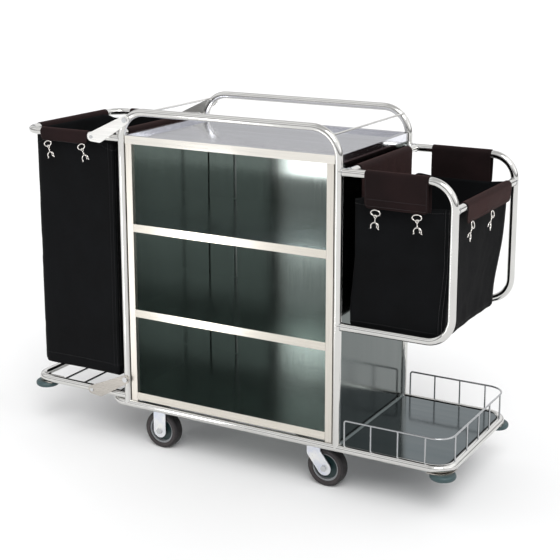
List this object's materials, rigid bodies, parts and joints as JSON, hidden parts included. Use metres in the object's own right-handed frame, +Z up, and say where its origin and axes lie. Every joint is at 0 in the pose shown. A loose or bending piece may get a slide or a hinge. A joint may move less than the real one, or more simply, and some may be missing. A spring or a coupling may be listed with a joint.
{
  "type": "linen trolley",
  "caption": "Open steel linen trolley: shelved cabinet on a tube base with a hinged tall bag holder, a second bag over a low railed platform, buffers and casters.",
  "frame": {"origin": "on the floor, under the centre of the whole trolley's bounding box", "axes": "+X along the trolley from the tall hinged bag to the platform, +Y from the open cabinet front to its back, +Z up"},
  "size_m": [1.4026, 0.4858, 1.03],
  "materials": {
    "polished_tube": "polished stainless tube",
    "bright_wire": "polished stainless wire",
    "brushed_face": "brushed along its length",
    "brushed_panel": "brushed upright grain",
    "deck_sheet": "fine satin",
    "platform_sheet": "fine satin",
    "hinge_plate": "satin",
    "fastener": "plated",
    "zinc_pressing": "bright zinc plating",
    "hub_plastic": "moulded, fine grain",
    "tyre_rubber": "worn matt rubber",
    "buffer_rubber": "soft grey-green rubber",
    "bag_canvas": "coated canvas, close weave",
    "cuff_canvas": "coated canvas, folded and stitched",
    "hook_nickel": "nickel plated"
  },
  "bodies": {
    "root": {"back_d_loop": "polished_tube", "back_guard_hoop": "polished_tube", "back_panel": "brushed_panel", "base_buffer_bolts": "fastener", "base_buffers": "buffer_rubber", "base_corner_plates": "hinge_plate", "base_cross_tubes": "polished_tube", "base_loop": "polished_tube", "bottom_shelf": "brushed_face", "caster_bolts": "fastener", "caster_channels": "zinc_pressing", "caster_plates": "zinc_pressing", "face_stiles": "brushed_face", "front_d_loop": "polished_tube", "front_guard_hoop": "polished_tube", "gallery_posts": "bright_wire", "gallery_rail": "bright_wire", "guard_cross_rods": "polished_tube", "holder_pivot_bolts": "fastener", "inner_bag_bar": "polished_tube", "kingpins": "fastener", "left_side_panel": "brushed_panel", "lower_shelf": "brushed_face", "outer_bag_bar": "polished_tube", "platform_pan": "platform_sheet", "right_side_panel": "brushed_panel", "rigid_axles": "fastener", "rigid_forks": "zinc_pressing", "swivel_races": "zinc_pressing", "top_deck": "deck_sheet", "upper_shelf": "brushed_face"},
    "front_rigid_wheel": {"front_rigid_hub": "hub_plastic", "front_rigid_tyre": "tyre_rubber"},
    "back_rigid_wheel": {"back_rigid_hub": "hub_plastic", "back_rigid_tyre": "tyre_rubber"},
    "front_swivel": {"front_swivel_fork": "zinc_pressing", "front_swivel_axle": "fastener"},
    "back_swivel": {"back_swivel_fork": "zinc_pressing", "back_swivel_axle": "fastener"},
    "front_swivel_wheel": {"front_swivel_hub": "hub_plastic", "front_swivel_tyre": "tyre_rubber"},
    "back_swivel_wheel": {"back_swivel_hub": "hub_plastic", "back_swivel_tyre": "tyre_rubber"},
    "hoop": {"hoop_tube": "polished_tube", "hoop_inner_bar": "polished_tube", "hoop_hinge_plates": "hinge_plate", "hoop_plate_rivets": "fastener"},
    "tray": {"tray_tube": "polished_tube", "tray_wires": "bright_wire", "tray_hinge_plates": "hinge_plate", "tray_plate_rivets": "fastener", "tray_corner_plates": "hinge_plate", "tray_buffers": "buffer_rubber", "tray_buffer_bolts": "fastener"},
    "left_bag_body": {"left_bag": "bag_canvas", "left_bag_cuffs": "cuff_canvas", "left_bag_hooks": "hook_nickel"},
    "right_bag_body": {"right_bag": "bag_canvas", "right_bag_flaps": "cuff_canvas", "right_bag_hooks": "hook_nickel"}
  },
  "joints": [
    {"name": "front_rigid_roll", "type": "hinge", "parent": "root", "child": "front_rigid_wheel", "pos_m": [-0.2445, -0.174, 0.057], "axis": [0, 1, 0], "continuous": true},
    {"name": "front_swivel_turn", "type": "hinge", "parent": "root", "child": "front_swivel", "pos_m": [0.2755, -0.174, 0.1193], "axis": [0, 0, 1], "continuous": true},
    {"name": "front_swivel_roll", "type": "hinge", "parent": "front_swivel", "child": "front_swivel_wheel", "pos_m": [0.3085, -0.174, 0.057], "axis": [0, 1, 0], "continuous": true},
    {"name": "back_rigid_roll", "type": "hinge", "parent": "root", "child": "back_rigid_wheel", "pos_m": [-0.2445, 0.174, 0.057], "axis": [0, 1, 0], "continuous": true},
    {"name": "back_swivel_turn", "type": "hinge", "parent": "root", "child": "back_swivel", "pos_m": [0.2755, 0.174, 0.1193], "axis": [0, 0, 1], "continuous": true},
    {"name": "back_swivel_roll", "type": "hinge", "parent": "back_swivel", "child": "back_swivel_wheel", "pos_m": [0.3085, 0.174, 0.057], "axis": [0, 1, 0], "continuous": true},
    {"name": "hoop_fold", "type": "hinge", "parent": "root", "child": "hoop", "pos_m": [-0.31336, 0, 0.99586], "axis": [0, 1, 0], "range_deg": [0, 90]},
    {"name": "tray_fold", "type": "hinge", "parent": "root", "child": "tray", "pos_m": [-0.3365, 0, 0.215], "axis": [0, 1, 0], "range_deg": [0, 90]},
    {"name": "left_bag_lift", "type": "slide", "parent": "hoop", "child": "left_bag_body", "axis": [0, 0, 1], "range_m": [0, 0.12]},
    {"name": "right_bag_lift", "type": "slide", "parent": "root", "child": "right_bag_body", "axis": [0, 0, 1], "range_m": [0, 0.12]}
  ],
  "couplings": [
    {"joint": "tray_fold", "follows": "hoop_fold", "ratio": 0.9}
  ]
}
